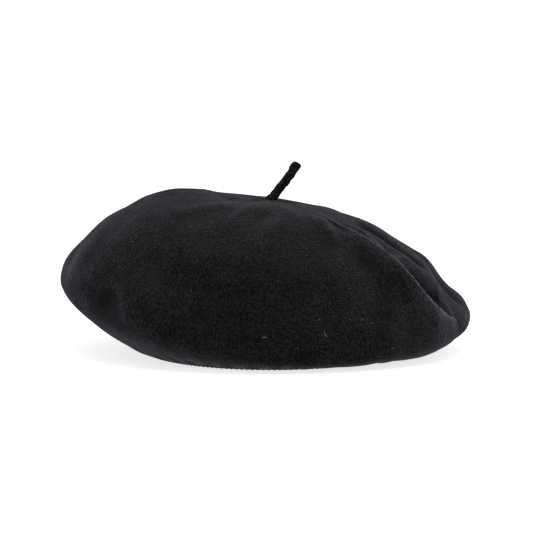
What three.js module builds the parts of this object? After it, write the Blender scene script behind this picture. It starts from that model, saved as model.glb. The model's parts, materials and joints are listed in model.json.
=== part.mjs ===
// A knitted wool beret: a round one-piece crown rolled under at the rim, a doubled headband with an
// elastic in its fold, a knitted cord stem at the centre, and the labels and sewing threads inside.
// Millimetres, +Z up. The origin is the centre of the head opening, on the plane the hem rests on.
// +X is the wearer's left, -Y is the front and +Y is the back.
import * as THREE from "three";

// Head opening and headband
const OPENING_HALF_WIDTH = 75;
const OPENING_HALF_DEPTH = 91;
const BAND_HEIGHT = 20;
const BAND_PLY = 1.6; // each of the band's two layers of cloth
const BAND_CHANNEL = 2; // room between the layers for the elastic
const BAND_THICKNESS = 2 * BAND_PLY + BAND_CHANNEL;
const ELASTIC = { thickness: 1, height: 12, lift: 4 };

// Crown: the rim is the widest line of the hat, and it tips down to the front and to the right
const CROWN_HEIGHT = 93; // at the centre, before the puffed part of the back adds to it
const CROWN_WALL = 2.2;
const HEM_LIFT = 1; // the crown's edge stays this far above the resting plane
const SEWN_GAP = 0.4; // between pieces that are sewn together
const HOLE_RADIUS = 3.1; // the centre hole that the stem's tail passes through
const LOBE = { x: -67, y: 30, height: 9.5, reachX: 44, reachY: 50 };

// Stem: a short knitted cord that leans to the right and straightens towards its tip
const CORD_RADIUS = 2.5;
const TIP_RADIUS = 2.75;
const ROOT_LEAN = 36.5; // degrees from vertical
const TIP_LEAN = 24;
const ROOT_PIVOT_LIFT = 3.2; // height of the cord's lower flex point above the crown
const ROOT_PIVOT_SHIFT = 2; // how far the leaning cord has gone to the right by that point
const ROOT_LENGTH = 6.5; // from the lower flex point to the upper one
const STEM_LENGTH = 17.6; // from the upper flex point to the tip

// Sewing thread
const THREAD_RADIUS = 0.4;

// Labels, both blank
const WOVEN_LABEL = { width: 38, height: 12, thickness: 0.5, lift: 4 };
const CARE_LABEL = { width: 18, length: 15, thickness: 0.5, hinge: 17, azimuth: 128 };

// Fineness of the faceted solids
const AROUND = 60;
const TOP_STEPS = 16;
const UNDER_STEPS = 8;
const PROFILE_SAMPLES = 90;

const knit = new THREE.MeshStandardMaterial({ color: 0x151517, roughness: 0.95, metalness: 0 });
const cord = new THREE.MeshStandardMaterial({ color: 0x0e0e10, roughness: 0.9, metalness: 0 });
const thread = new THREE.MeshStandardMaterial({ color: 0x1a1a1c, roughness: 0.7, metalness: 0 });
const elastic = new THREE.MeshStandardMaterial({ color: 0x202022, roughness: 0.8, metalness: 0 });
const satin = new THREE.MeshStandardMaterial({ color: 0xd8d5cc, roughness: 0.45, metalness: 0 });

const rad = THREE.MathUtils.degToRad;

// ---------------------------------------------------------------- shapes

// A solid skinned over closed rings of points. Joined end to end it is a ring body; otherwise each
// end is closed by a fan to its middle.
function skin(rings, endless) {
  const sides = rings[0].length;
  const points = rings.flat();
  const faces = [];
  const spans = endless ? rings.length : rings.length - 1;
  for (let i = 0; i < spans; i++) {
    const next = (i + 1) % rings.length;
    for (let j = 0; j < sides; j++) {
      const k = (j + 1) % sides;
      const [a, b, c, d] = [i * sides + j, i * sides + k, next * sides + k, next * sides + j];
      faces.push(a, b, c, a, c, d);
    }
  }
  if (!endless) {
    for (const [ring, flip] of [[0, false], [rings.length - 1, true]]) {
      const middle = new THREE.Vector3();
      rings[ring].forEach((p) => middle.addScaledVector(p, 1 / sides));
      points.push(middle);
      for (let j = 0; j < sides; j++) {
        const [a, b] = [ring * sides + j, ring * sides + ((j + 1) % sides)];
        faces.push(points.length - 1, ...(flip ? [a, b] : [b, a]));
      }
    }
  }
  return new THREE.BufferGeometry().setFromPoints(points).setIndex(faces);
}

// The head opening is an ellipse; this is its radius at an azimuth, grown outwards by some distance.
function openingRadius(azimuth, outwards) {
  const halfWidth = OPENING_HALF_WIDTH + outwards;
  const halfDepth = OPENING_HALF_DEPTH + outwards;
  return (halfWidth * halfDepth) /
    Math.hypot(halfDepth * Math.cos(azimuth), halfWidth * Math.sin(azimuth));
}

function polar(radius, azimuth, z) {
  return new THREE.Vector3(radius * Math.cos(azimuth), radius * Math.sin(azimuth), z);
}

// A ring that follows the head opening, with a section of [outwards, z] points listed clockwise.
function openingRing(section, from = 0, to = 2 * Math.PI, steps = AROUND) {
  const endless = to - from > 6;
  const rings = [];
  for (let i = 0; i < steps + (endless ? 0 : 1); i++) {
    const azimuth = from + ((to - from) * i) / steps;
    rings.push(section.map(([outwards, z]) => polar(openingRadius(azimuth, outwards), azimuth, z)));
  }
  return skin(rings, endless);
}

// ---------------------------------------------------------------- crown

// The beret's shape at one azimuth: where the rim is, and how full the cloth is above and below it.
function crownAt(azimuth) {
  const [c, s] = [Math.cos(azimuth), Math.sin(azimuth)];
  return {
    rimRadius: 126.5 - 3.5 * c + 12 * s,
    rimHeight: 26 - 10.5 * c + 16 * s + 4.5 * Math.cos(2 * azimuth),
    spread: 2.3 - 0.55 * c, // how far out the top stays high
    drop: 1.65 - 0.3 * c - 0.2 * s, // how roundly the top falls to the rim
    lip: 4.2 + 1.8 * c, // depth of the hollow just above the rim's crease
    under: 1.35 + 0.2 * c, // roundness of the roll under the rim
    edge: openingRadius(azimuth, BAND_THICKNESS + SEWN_GAP),
  };
}

// Height that the puffed back left part of the crown adds.
function lobeHeight(radius, azimuth, rimRadius) {
  const dx = (radius * Math.cos(azimuth) - LOBE.x) / LOBE.reachX;
  const dy = (radius * Math.sin(azimuth) - LOBE.y) / LOBE.reachY;
  const fade = Math.min(1, 1.6 * (1 - (radius / rimRadius) ** 2));
  return LOBE.height * Math.exp(-dx * dx - dy * dy) * fade;
}

// The outer surface at one azimuth, as [radius, z] points from the centre hole to the rim.
function topProfile(azimuth) {
  const shape = crownAt(azimuth);
  const points = [];
  for (let i = 0; i <= PROFILE_SAMPLES; i++) {
    const angle = (Math.PI / 2) * (i / PROFILE_SAMPLES);
    const share = Math.sin(angle) ** (2 / shape.spread);
    const radius = shape.rimRadius * share;
    const height = (CROWN_HEIGHT - shape.rimHeight) * Math.cos(angle) ** (2 / shape.drop);
    const hollow = shape.lip * Math.exp(-(((share - 0.9) / 0.07) ** 2));
    const z = shape.rimHeight + height - hollow + lobeHeight(radius, azimuth, shape.rimRadius);
    if (radius >= HOLE_RADIUS) points.push(new THREE.Vector2(radius, z));
  }
  points.unshift(new THREE.Vector2(HOLE_RADIUS, points[0].y));
  return new THREE.SplineCurve(points).getSpacedPoints(TOP_STEPS);
}

// The roll under the rim and in to the hem.
function underProfile(azimuth) {
  const shape = crownAt(azimuth);
  const points = [];
  for (let i = 0; i <= PROFILE_SAMPLES; i++) {
    const angle = (Math.PI / 2) * (i / PROFILE_SAMPLES);
    const reach = Math.cos(angle) ** (2 / shape.under);
    const fall = Math.sin(angle) ** (2 / shape.under);
    points.push(new THREE.Vector2(
      shape.edge + (shape.rimRadius - shape.edge) * reach,
      shape.rimHeight - (shape.rimHeight - HEM_LIFT) * fall,
    ));
  }
  return new THREE.SplineCurve(points).getSpacedPoints(UNDER_STEPS);
}

function crownProfile(azimuth) {
  return [...topProfile(azimuth), ...underProfile(azimuth).slice(1)];
}

// The same profile moved into the hat by a distance, square to the cloth.
function insetProfile(profile, distance) {
  return profile.map((point, i) => {
    const before = profile[Math.max(0, i - 1)];
    const after = profile[Math.min(profile.length - 1, i + 1)];
    const along = after.clone().sub(before).normalize();
    if (i === 0) along.set(1, 0);
    if (i === profile.length - 1) along.set(-1, 0);
    return new THREE.Vector2(point.x + along.y * distance, point.y - along.x * distance);
  });
}

function crownGeometry() {
  const rings = [];
  for (let i = 0; i < AROUND; i++) {
    const azimuth = (2 * Math.PI * i) / AROUND;
    const outer = crownProfile(azimuth);
    const inner = insetProfile(outer, CROWN_WALL);
    const loop = [...outer, ...inner.reverse()];
    rings.push(loop.map((point) => polar(point.x, azimuth, point.y)));
  }
  return skin(rings, true);
}

// ---------------------------------------------------------------- threads

function threadSection(sides = 5) {
  const outline = [];
  for (let i = 0; i < sides; i++) {
    const angle = (2 * Math.PI * i) / sides;
    outline.push(new THREE.Vector2(Math.cos(angle), Math.sin(angle)).multiplyScalar(THREAD_RADIUS));
  }
  return new THREE.Shape(outline);
}

// A thread along a curve, with closed ends.
function threadGeometry(points, steps) {
  const path = new THREE.CatmullRomCurve3(points);
  return new THREE.ExtrudeGeometry(threadSection(), { steps, extrudePath: path, bevelEnabled: false });
}

// A thread that runs round the head opening and swings in and out, or up and down, as it stitches.
function stitchRing(outwards, z, swingOut, swingUp, stitches) {
  const points = [];
  for (let i = 0; i < 2 * stitches; i++) {
    const azimuth = (Math.PI * i) / stitches;
    const swing = i % 2 ? 1 : -1;
    points.push(polar(openingRadius(azimuth, outwards + swing * swingOut), azimuth, z + swing * swingUp));
  }
  const path = new THREE.CatmullRomCurve3(points, true);
  return new THREE.TubeGeometry(path, 4 * stitches, THREAD_RADIUS, 4, true);
}

// The linked seam that closes the knitted crown into a round, zigzagging up the inside of the back.
function closingSeamGeometry() {
  const back = Math.PI / 2;
  const run = insetProfile(crownProfile(back), CROWN_WALL + 2 * SEWN_GAP + THREAD_RADIUS);
  const points = run.slice(2, -3).map((point, i) => {
    const sideways = i % 2 ? 1 : -1;
    return new THREE.Vector3(sideways, point.x, point.y);
  });
  return threadGeometry(points, 60);
}

// Stitches that hold the stem's tail to the inside of the crown, in a ring round its knot.
function tackingGeometry() {
  const points = [];
  const stitches = 6;
  const z = topProfile(0)[0].y - CROWN_WALL - 2;
  for (let i = 0; i < 2 * stitches; i++) points.push(polar(i % 2 ? 9 : 7, (Math.PI * i) / stitches, z));
  const path = new THREE.CatmullRomCurve3(points, true);
  return new THREE.TubeGeometry(path, 48, THREAD_RADIUS, 5, true);
}

// ---------------------------------------------------------------- stem

const stemSeat = topProfile(0)[0].y; // the crown's top at its centre hole
const leanDirection = (degrees) => new THREE.Vector3(Math.sin(rad(degrees)), 0, Math.cos(rad(degrees)));
const lowerFlex = new THREE.Vector3(ROOT_PIVOT_SHIFT, 0, stemSeat + ROOT_PIVOT_LIFT);
const upperFlex = lowerFlex.clone().addScaledVector(leanDirection(ROOT_LEAN), ROOT_LENGTH);

// A round cord along a curve in the XZ plane. Stations are [distance along, radius].
function cordGeometry(curve, stations, sides = 12) {
  const length = curve.getLength();
  const rings = stations.map(([distance, radius]) => {
    const share = THREE.MathUtils.clamp(distance / length, 0, 1);
    const along = curve.getTangentAt(share);
    const centre = curve.getPointAt(share).addScaledVector(along, distance - share * length);
    const side = new THREE.Vector3(along.z, 0, -along.x);
    return Array.from({ length: sides }, (_, i) => {
      const angle = (2 * Math.PI * i) / sides;
      return centre.clone()
        .addScaledVector(side, radius * Math.cos(angle))
        .addScaledVector(new THREE.Vector3(0, 1, 0), radius * Math.sin(angle));
    });
  });
  return skin(rings, false);
}

// Stations of a half ball that closes a cord's lower end about its flex point.
function ballEnd(radius) {
  return [75, 50, 25].map((degrees) => [-radius * Math.sin(rad(degrees)), radius * Math.cos(rad(degrees))]);
}

function stemRootGeometry() {
  const axis = new THREE.LineCurve3(lowerFlex, upperFlex);
  const end = ROOT_LENGTH - CORD_RADIUS - SEWN_GAP;
  const radius = CORD_RADIUS + 0.1;
  return cordGeometry(axis, [...ballEnd(radius), [0, radius], [1.8, radius], [end, CORD_RADIUS - 0.1]]);
}

function stemGeometry() {
  const bend = upperFlex.clone().addScaledVector(leanDirection(ROOT_LEAN), 0.5 * STEM_LENGTH);
  const tip = bend.clone().addScaledVector(leanDirection(TIP_LEAN), 0.5 * STEM_LENGTH);
  const curve = new THREE.QuadraticBezierCurve3(upperFlex, bend, tip);
  const length = curve.getLength();
  return cordGeometry(curve, [
    ...ballEnd(CORD_RADIUS),
    [0, CORD_RADIUS],
    [3, CORD_RADIUS - 0.1],
    [6, CORD_RADIUS],
    [9, CORD_RADIUS - 0.1],
    [12, CORD_RADIUS + 0.05],
    [length - 3.2, TIP_RADIUS],
    [length - 1.4, TIP_RADIUS - 0.1],
    [length - 0.4, TIP_RADIUS - 0.8],
    [length, TIP_RADIUS - 1.8],
  ]);
}

// The cord's tail goes down through the centre hole and ends in a knot that can't pull back out.
function stemTailGeometry() {
  const top = stemSeat + 0.2;
  const under = stemSeat - CROWN_WALL - SEWN_GAP;
  const outline = [
    [0, under - 6.2],
    [2.6, under - 5.8],
    [4.4, under - 4],
    [4.6, under - 2],
    [3.2, under - 0.4],
    [2.4, under],
    [2.4, top - 0.3],
    [1.8, top],
    [0, top],
  ];
  return new THREE.LatheGeometry(outline.map(([x, y]) => new THREE.Vector2(x, y)), 16).rotateX(Math.PI / 2);
}

// ---------------------------------------------------------------- labels

// A blank woven label that lies flat on the inside of the band at the back.
function wovenLabelGeometry() {
  const { width, height, thickness, lift } = WOVEN_LABEL;
  const halfAngle = width / 2 / OPENING_HALF_DEPTH;
  const [near, far] = [-SEWN_GAP, -SEWN_GAP - thickness];
  const section = [[far, lift], [far, lift + height], [near, lift + height], [near, lift]];
  return openingRing(section, Math.PI / 2 - halfAngle, Math.PI / 2 + halfAngle, 8);
}

// The thread bar that holds one end of the woven label, lying on its face.
function labelBarGeometry(side) {
  const { width, height, thickness, lift } = WOVEN_LABEL;
  const azimuth = Math.PI / 2 + (side * (width / 2 - 1.5)) / OPENING_HALF_DEPTH;
  const radius = openingRadius(azimuth, -2 * SEWN_GAP - thickness - THREAD_RADIUS);
  const points = [];
  for (let i = 0; i <= 6; i++) {
    const slant = (i % 2 ? 0.4 : -0.4) / OPENING_HALF_DEPTH;
    points.push(polar(radius, azimuth + slant, lift + 1 + ((height - 2) * i) / 6));
  }
  return threadGeometry(points, 18);
}

// A blank care label, sewn along its top edge so that it hangs inside the band and flips up.
function careLabelGeometry() {
  const { width, length, thickness } = CARE_LABEL;
  const outline = new THREE.Shape();
  outline.absarc(0, 0, thickness / 2, 0, Math.PI);
  outline.lineTo(-thickness / 2, -length);
  outline.lineTo(thickness / 2, -length);
  outline.closePath();
  const flap = new THREE.ExtrudeGeometry(outline, { depth: width, bevelEnabled: false, curveSegments: 4 });
  return flap.translate(0, 0, -width / 2).rotateX(Math.PI / 2);
}

// Where the care label's sewn edge runs: a chord of the band's inner face.
const careAzimuth = rad(CARE_LABEL.azimuth);
const careRadius = openingRadius(careAzimuth, -1.5);
const careTurn = Math.atan2(
  Math.sin(careAzimuth) / OPENING_HALF_DEPTH ** 2,
  Math.cos(careAzimuth) / OPENING_HALF_WIDTH ** 2,
);

// The stitches that hold its sewn edge to the band.
function careStitchGeometry() {
  const points = [];
  const stitches = 6;
  for (let i = 0; i <= stitches; i++) {
    const along = (CARE_LABEL.width - 2) * (i / stitches - 0.5);
    points.push(new THREE.Vector3(i % 2 ? 0.6 : 0, along, 1));
  }
  return threadGeometry(points, 24);
}

// ---------------------------------------------------------------- assembly

const beret = new THREE.Group();

function add(name, geometry, material, parent = beret) {
  const mesh = new THREE.Mesh(geometry, material);
  mesh.name = name;
  parent.add(mesh);
  return mesh;
}

const plies = BAND_PLY + BAND_CHANNEL;
const bandSection = [
  [0, 0],
  [0, BAND_HEIGHT],
  [BAND_PLY, BAND_HEIGHT],
  [BAND_PLY, BAND_PLY],
  [plies, BAND_PLY],
  [plies, BAND_HEIGHT],
  [BAND_THICKNESS, BAND_HEIGHT],
  [BAND_THICKNESS, 0],
];
const elasticInner = (BAND_THICKNESS - ELASTIC.thickness) / 2;
const elasticOuter = elasticInner + ELASTIC.thickness;
const elasticSection = [
  [elasticInner, ELASTIC.lift],
  [elasticInner, ELASTIC.lift + ELASTIC.height],
  [elasticOuter, ELASTIC.lift + ELASTIC.height],
  [elasticOuter, ELASTIC.lift],
];

add("crown", crownGeometry(), knit);
add("closing_seam", closingSeamGeometry(), thread);
add("headband", openingRing(bandSection), knit);
add("band_elastic", openingRing(elasticSection), elastic);
add("hem_seam", stitchRing(BAND_THICKNESS + 1.3, 7.5, 0, 0.7, 30), thread);
add("band_topstitch", stitchRing(BAND_THICKNESS / 2, BAND_HEIGHT + 0.8, 1.5, 0, 30), thread);
add("stem_tail", stemTailGeometry(), cord);
add("stem_tacking", tackingGeometry(), thread);
add("stem_root", stemRootGeometry(), cord);
add("stem", stemGeometry(), cord);
add("woven_label", wovenLabelGeometry(), satin);
add("label_stitch_left", labelBarGeometry(-1), thread);
add("label_stitch_right", labelBarGeometry(1), thread);

const careMount = new THREE.Group();
careMount.position.copy(polar(careRadius, careAzimuth, CARE_LABEL.hinge));
careMount.rotation.z = careTurn;
beret.add(careMount);
add("care_label", careLabelGeometry(), satin, careMount);
add("care_label_stitch", careStitchGeometry(), thread, careMount);

export default beret;
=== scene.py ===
# The looks of a black knitted wool beret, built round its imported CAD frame.
# Shapes are worked out in millimetres in the row frame, and turned into metres as each mesh is made.
import json
import math

import bpy
import numpy as np
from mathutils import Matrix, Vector


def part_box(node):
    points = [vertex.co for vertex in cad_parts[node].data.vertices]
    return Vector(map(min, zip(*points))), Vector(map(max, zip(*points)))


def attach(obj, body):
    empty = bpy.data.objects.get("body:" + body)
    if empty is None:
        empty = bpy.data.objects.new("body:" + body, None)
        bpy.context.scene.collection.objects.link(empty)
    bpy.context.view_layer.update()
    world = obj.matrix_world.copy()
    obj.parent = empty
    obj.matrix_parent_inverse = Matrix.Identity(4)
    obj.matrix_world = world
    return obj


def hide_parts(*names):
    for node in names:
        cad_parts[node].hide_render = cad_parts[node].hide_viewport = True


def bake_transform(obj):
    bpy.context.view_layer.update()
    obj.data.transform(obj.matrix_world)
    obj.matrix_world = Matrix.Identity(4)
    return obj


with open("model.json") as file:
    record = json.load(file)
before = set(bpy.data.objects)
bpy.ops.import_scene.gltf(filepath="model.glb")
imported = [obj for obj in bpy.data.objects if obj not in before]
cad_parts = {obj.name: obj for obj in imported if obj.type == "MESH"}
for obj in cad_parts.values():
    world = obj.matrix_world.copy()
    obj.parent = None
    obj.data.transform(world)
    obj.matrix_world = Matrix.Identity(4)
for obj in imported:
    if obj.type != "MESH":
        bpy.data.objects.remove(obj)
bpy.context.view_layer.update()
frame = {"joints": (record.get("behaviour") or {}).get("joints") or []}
scene = bpy.context.scene

MM = 0.001
TURN = 2 * math.pi


def node_box(node):
    """A CAD node's lowest and highest corner, in millimetres."""
    low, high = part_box(node)
    return np.array(low) / MM, np.array(high) / MM


def joint_pivot(name):
    """Where a CAD joint turns, in millimetres."""
    joint = next(j for j in frame["joints"] if j["name"] == name)
    return np.array(joint["pos_m"]) / MM


# ---------------- sizes, as in the CAD model

CROWN_LOW, CROWN_HIGH = node_box("crown")
BAND_HIGH = node_box("headband")[1]

BAND_PLY = 1.6
BAND_CHANNEL = 2.0
BAND_THICKNESS = 2 * BAND_PLY + BAND_CHANNEL
BAND_HEIGHT = BAND_HIGH[2]
OPENING_HALF_WIDTH = BAND_HIGH[0] - BAND_THICKNESS
OPENING_HALF_DEPTH = BAND_HIGH[1] - BAND_THICKNESS

CROWN_HEIGHT = 93.0
RIM_HEIGHT = {"mean": 26, "side": -10.5, "back": 16, "saddle": 4.5}
CROWN_WALL = 2.2
HEM_LIFT = CROWN_LOW[2]
SEWN_GAP = 0.4
RIM_MEAN = (CROWN_HIGH - CROWN_LOW)[:2].mean() / 2
RIM_CENTRE = (CROWN_HIGH + CROWN_LOW)[:2] / 2
LOBE = {"x": -67, "y": 30, "height": 7.0, "reach_x": 44, "reach_y": 50}

LOWER_FLEX = joint_pivot("stem_lean_side")
UPPER_FLEX = joint_pivot("stem_lean_front")
CORD_RADIUS = 2.95
CROWN_SEAT = LOWER_FLEX[2] - 3.2
CROWN_HOLE = 1.8

# Fineness of the crown's mesh: columns round it, and rows from the centre over the rim to the hem
AROUND = 480
ROWS = 156
INNER_SKIP = 5

# The rim's crease is smoothed on this many rows: how many times where it stays crisp, and where it is softest
SOFTEN_ROWS = 180
RIM_CRISP = 6
RIM_SOFTENING = 120

# The knitting: a stitch's width and height, and how the number of wales grows outwards
KNIT_WALE = 1.5
KNIT_COURSE = 1.15
STEP_ROWS = 10
SECTORS = 24

# Crests and hollows, fine and broad, painted lighter as highlight and darker as shade: how many mesh
# cells each is measured over, the height of a full one, and how much it counts
PAINTED_LIGHT_RELIEFS = [
    {"reach": 2, "height": 0.45, "share": 1.0},
    {"reach": 9, "height": 3.0, "share": 0.45},
]

# How round the crest of a sharp fold is, and how wide the highlight painted along it, on its right and on its
# left
CREST_ROUNDING = 1.0
PAINTED_SHINE_RIGHT = 1.3
PAINTED_SHINE_LEFT = 2.2

# The cloth's slight unevenness, broad and fine, and how many random waves each is made of
UNEVENNESS = [{"wavelength": 46, "height": 0.5}, {"wavelength": 17, "height": 0.22}]
NOISE_WAVES = 24

# How much highlight is painted on the wool round the stem, where the cloth is gathered
PAINTED_LIGHT_AT_STEM = 0.18

random = np.random.default_rng(7)


# ---------------- mesh helpers

def make_object(name, points, faces, material, body=None, smooth=True):
    """A mesh object from millimetre points. It rides on its body if one is given."""
    mesh = bpy.data.meshes.new(name)
    mesh.from_pydata((np.reshape(points, (-1, 3)) * MM).tolist(), [], faces)
    mesh.polygons.foreach_set("use_smooth", [smooth] * len(mesh.polygons))
    mesh.materials.append(material)
    mesh.update()
    piece = bpy.data.objects.new(name, mesh)
    scene.collection.objects.link(piece)
    if body:
        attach(piece, body)
    return piece


def grid_faces(columns, rows, columns_close, rows_close, offset=0):
    """Four-sided faces over a grid of points stored column by column."""
    faces = []
    for i in range(columns if columns_close else columns - 1):
        here, there = i * rows + offset, ((i + 1) % columns) * rows + offset
        for j in range(rows if rows_close else rows - 1):
            k = (j + 1) % rows
            faces.append((here + j, there + j, there + k, here + k))
    return faces


def azimuths(columns):
    """Directions spaced evenly round the hat, one to a column of points."""
    return np.linspace(0, TURN, columns, endpoint=False)[:, None]


def run_along(path):
    """How far along a path each of its points lies."""
    return np.concatenate([[0], np.cumsum(np.linalg.norm(np.diff(path, axis=0), axis=1))])


def space_evenly(path, count):
    """A path's points spaced evenly, and how far along it each of them lies."""
    run = run_along(path)
    even = np.linspace(0, run[-1], count)
    return np.stack([np.interp(even, run, column) for column in path.T], axis=-1), even


def smoothstep(low, high, value):
    share = np.clip((value - low) / (high - low), 0, 1)
    return share * share * (3 - 2 * share)


def normalise(vectors):
    length = np.linalg.norm(vectors, axis=-1, keepdims=True)
    return vectors / np.maximum(length, 1e-9)


def finish_piece(piece, slot, *nodes):
    """Hides the CAD nodes that a piece stands for; its slot is not used."""
    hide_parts(*nodes)


def store_knit(piece, wales, courses):
    """Keeps each face corner's place in the knitting, counted in wales and courses."""
    layer = piece.data.attributes.new("knit", "FLOAT_VECTOR", "CORNER")
    values = np.stack([wales.ravel(), courses.ravel(), np.zeros(wales.size)], -1)
    layer.data.foreach_set("vector", values.astype(np.float32).ravel())


# ---------------- the crown's plain form

def opening_radius(azimuth, outwards):
    """Radius of the head opening's oval at an azimuth, grown outwards by some distance."""
    half_width = OPENING_HALF_WIDTH + outwards
    half_depth = OPENING_HALF_DEPTH + outwards
    return half_width * half_depth / np.hypot(
        half_depth * np.cos(azimuth), half_width * np.sin(azimuth)
    )


def round_opening(azimuth, outwards, z):
    """Points round the head opening's oval, some distance outwards from it, at heights z."""
    radius = opening_radius(azimuth, outwards)
    return np.stack([radius * np.cos(azimuth), radius * np.sin(azimuth), z + 0 * radius], axis=-1)


def resample(radius, height, rows):
    """The same profiles, one to a line, with points spaced evenly along each."""
    step = np.hypot(np.diff(radius, axis=1), np.diff(height, axis=1))
    length = np.concatenate([np.zeros((len(step), 1)), np.cumsum(step, axis=1)], axis=1)
    even = np.linspace(0, 1, rows)
    out = [
        (np.interp(even * run[-1], run, r), np.interp(even * run[-1], run, z))
        for run, r, z in zip(length, radius, height)
    ]
    return np.array([o[0] for o in out]), np.array([o[1] for o in out])


def soften_rim(radius, z, azimuth):
    """Rounds the crease at the rim: most at the front, where the cloth rolls under, least at the ends."""
    wanted = radius.max(axis=1, keepdims=True)
    profile = np.stack([radius, z])
    for step in range(RIM_SOFTENING):
        if step == RIM_CRISP:
            crisp = profile.copy()
        profile[..., 1:-1] = (profile[..., :-2] + 2 * profile[..., 1:-1] + profile[..., 2:]) / 4
    soft = np.clip(0.5 - 0.8 * np.sin(azimuth - 0.1), 0, 1)
    radius, z = crisp * (1 - soft) + profile * soft
    widest = radius.max(axis=1, keepdims=True)
    outer = smoothstep(0.5, 1, radius / widest)
    return radius * (1 + (wanted / widest - 1) * outer), z


def crown_form(columns, rows, hole_radius):
    """The beret's outer surface, from the centre hole over the rim to the hem, as columns of points."""
    azimuth = azimuths(columns)
    c, s = np.cos(azimuth), np.sin(azimuth)
    rim_radius = RIM_MEAN + RIM_CENTRE[0] * c + RIM_CENTRE[1] * s
    rim_height = RIM_HEIGHT["mean"] + RIM_HEIGHT["side"] * c + RIM_HEIGHT["back"] * s
    rim_height += RIM_HEIGHT["saddle"] * np.cos(2 * azimuth)

    angle = np.linspace(0, math.pi / 2, 200)[None, :]
    share = np.sin(angle) ** (2 / (2.3 - 0.55 * c))
    top_radius = rim_radius * share
    height = (CROWN_HEIGHT - rim_height) * np.cos(angle) ** (2 / (1.65 - 0.3 * c - 0.2 * s))
    hollow = (4.2 + 1.8 * c) * np.exp(-(((share - 0.9) / 0.07) ** 2))
    dx = (top_radius * c - LOBE["x"]) / LOBE["reach_x"]
    dy = (top_radius * s - LOBE["y"]) / LOBE["reach_y"]
    lobe = LOBE["height"] * np.exp(-dx * dx - dy * dy) * np.clip(1.6 * (1 - share**2), 0, 1)
    top_z = rim_height + height - hollow + lobe
    top_radius = np.maximum(top_radius, hole_radius)

    edge = opening_radius(azimuth, BAND_THICKNESS + SEWN_GAP)
    roundness = 2 / (1.35 + 0.2 * c)
    under_radius = edge + (rim_radius - edge) * np.cos(angle) ** roundness
    under_z = rim_height - (rim_height - HEM_LIFT) * np.sin(angle) ** roundness

    radius = np.concatenate([top_radius, under_radius[:, 1:]], axis=1)
    z = np.concatenate([top_z, under_z[:, 1:]], axis=1)
    radius, z = resample(radius, z, SOFTEN_ROWS)
    radius, z = soften_rim(radius, z, azimuth)
    radius, z = resample(radius, z, rows)
    return np.stack([radius * c, radius * s, z], axis=-1)


def surface_normals(form):
    """Outward normals of a form whose columns close into a round."""
    along = np.gradient(form, axis=1)
    around = np.roll(form, -1, axis=0) - np.roll(form, 1, axis=0)
    return normalise(np.cross(along, around))


def blur(field, columns, rows):
    """A box blur over a field on the crown, which closes round its columns."""
    for _ in range(2):
        total = sum(np.roll(field, k, axis=0) for k in range(-columns, columns + 1))
        field = total / (2 * columns + 1)
        padded = np.concatenate(
            [np.repeat(field[:, :1], rows, 1), field, np.repeat(field[:, -1:], rows, 1)], axis=1
        )
        field = sum(
            padded[:, k : k + field.shape[1]] for k in range(2 * rows + 1)
        ) / (2 * rows + 1)
    return field


# ---------------- folds and creases

# Each fold follows points given as (x, y, height). Height is outwards, and a negative one is a valley.
# The two widths are of its slopes on the right and on the left of its run; sharp makes it a crease, and
# the last entry, where there is one, is how strong a highlight is painted along its crest.
FOLDS = [
    # the long pleat on the right, whose crest stands over the front
    {"line": [(27, -24, 0), (37, -34, 3.0), (50, -43, 5.8), (64, -51, 8.6), (74, -56, 10.0), (85, -59, 9.8),
              (97, -54, 7.4), (105, -45, 4.0), (114, -32, 0)],
     "right": 16.0, "left": 3.4, "sharp": True, "painted_shine": 1.3},
    # a second, smaller pleat behind it
    {"line": [(42, -24, 0), (49, -24, 1.2), (56, -27, 1.7), (63, -32, 1.7), (70, -38, 1.2), (77, -45, 0)],
     "right": 3.6, "left": 3.0, "sharp": True, "painted_shine": 0.6},
    # the valley high behind them, and the one close behind the long pleat
    {"line": [(50, -9, 0), (60, -12, -2.8), (70, -14, -3.6), (80, -15, -3.6), (90, -14, -2.4), (98, -10, 0)],
     "right": 4.0, "left": 5.0},
    {"line": [(76, -33, 0), (84, -36, -3.2), (92, -38, -6.2), (99, -39, -6.4), (105, -37, -3.6),
              (110, -33, 0)],
     "right": 6.0, "left": 13.0},
    # the hollow along the foot of the long pleat
    {"line": [(46, -56, 0), (57, -63, -1.5), (68, -67, -1.7), (80, -70, -0.9), (94, -70, 0)],
     "right": 15.0, "left": 10.0},
    # the dark hollow where the pleat starts, and the soft lump below it
    {"line": [(27, -27, 0), (32, -32, -3.4), (38, -38, -3.2), (47, -47, 0)],
     "right": 2.8, "left": 3.0},
    {"line": [(25, -31, 0), (29, -39, 2.2), (34, -49, 2.0), (42, -61, 0)],
     "right": 6.0, "left": 4.0},
    # soft radial creases round the stem
    {"line": [(-6, -14, 0), (-14, -33, 1.8), (-21, -48, 1.2), (-28, -64, 0)],
     "right": 4.0, "left": 7.0},
    {"line": [(0, -22, 0), (-4, -40, -1.6), (-10, -58, -1.2), (-16, -74, 0)],
     "right": 6.0, "left": 7.0},
    {"line": [(-12, -18, 0), (-28, -31, 1.6), (-44, -38, 1.2), (-60, -42, 0)],
     "right": 7.0, "left": 6.0},
    {"line": [(3, -16, 0), (9, -29, 0.9), (15, -41, 0.8), (20, -52, 0)],
     "right": 5.0, "left": 5.0},
    # the ridge and the furrow along the top of the full side
    {"line": [(-98, -10, 0), (-82, -4, 2.4), (-62, 2, 3.6), (-42, 0, 4.0), (-24, -6, 0)],
     "right": 16.0, "left": 16.0},
    {"line": [(-92, 4, 0), (-76, 1, -1.0), (-58, -1, -1.0), (-42, 0, -0.8), (-28, 3, 0)],
     "right": 3.2, "left": 2.0},
    # the curved crease beside the dent at the full end
    {"line": [(-100, -63, 0), (-95, -69, 0.3), (-90, -78, 0.45), (-87, -85, 0.3), (-86, -92, 0)],
     "right": 3.4, "left": 3.4},
]

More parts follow.
